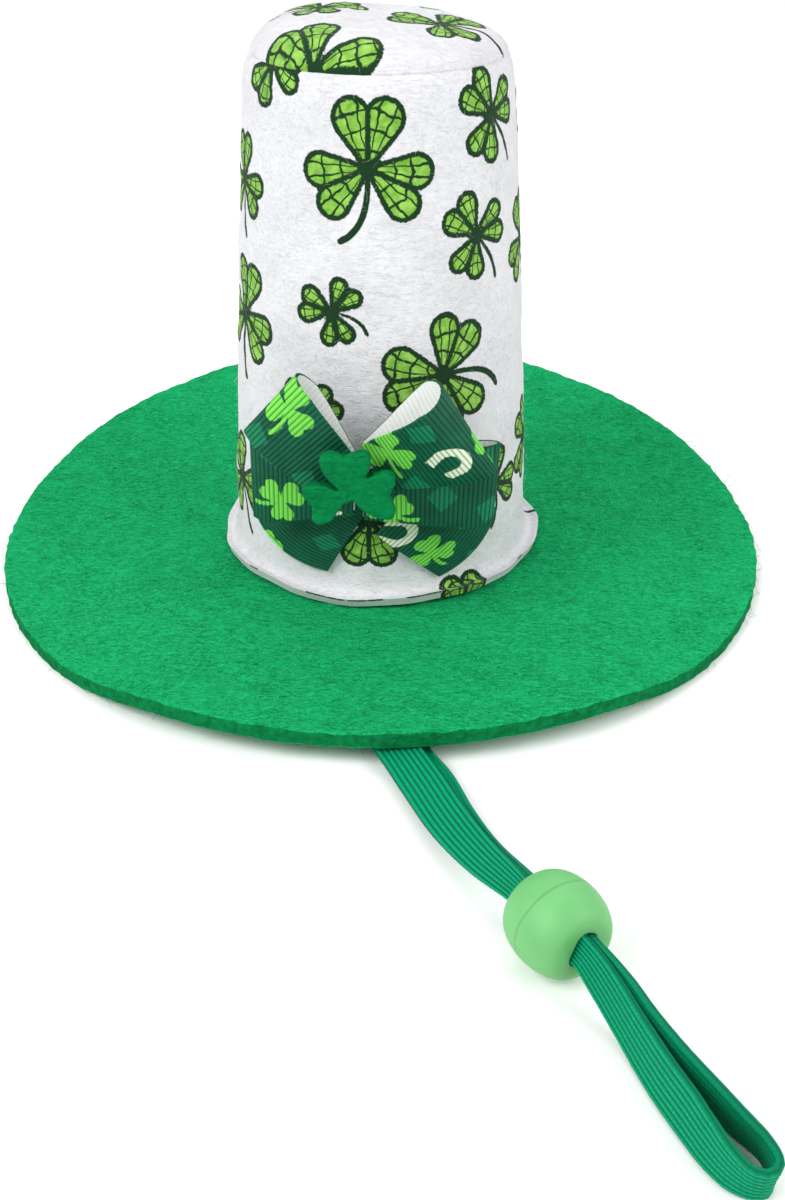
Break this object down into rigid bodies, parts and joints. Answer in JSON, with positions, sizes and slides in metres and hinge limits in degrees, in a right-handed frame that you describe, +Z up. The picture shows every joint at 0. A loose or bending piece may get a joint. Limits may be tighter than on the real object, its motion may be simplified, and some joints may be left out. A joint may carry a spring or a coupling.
{
  "type": "pet top hat with chin strap",
  "caption": "Small tall-crowned felt top hat for a pet, with a wide oval brim, a shamrock print, a ribbon bow on the front, and an elastic chin strap with a slider bead.",
  "frame": {"origin": "middle of the brim's footprint, on the surface that the hat stands on", "axes": "+Z up along the crown, -Y towards the front with the bow, +X to the right of a viewer at the front"},
  "size_m": [0.1286, 0.2094, 0.0886],
  "materials": {
    "brim_felt": "matted green felt",
    "crown_felt": "matted white felt with a printed shamrock pattern",
    "ribbon": "ribbed dark green ribbon with a printed pattern, white on its reverse",
    "applique_felt": "green felt with cut edges",
    "elastic": "flat green elastic, ribbed lengthwise",
    "bead_plastic": "pale green moulded plastic, satin"
  },
  "bodies": {
    "root": {"brim": "brim_felt", "crown_wall": "crown_felt", "crown_top": "crown_felt", "bow_tail_left": "ribbon", "bow_tail_right": "ribbon", "bow_loop_left": "ribbon", "bow_loop_right": "ribbon", "bow_loop_upper_left": "ribbon", "bow_loop_upper_right": "ribbon", "shamrock_applique": "applique_felt", "chin_strap": "elastic", "slider_bead": "bead_plastic"}
  },
  "joints": []
}
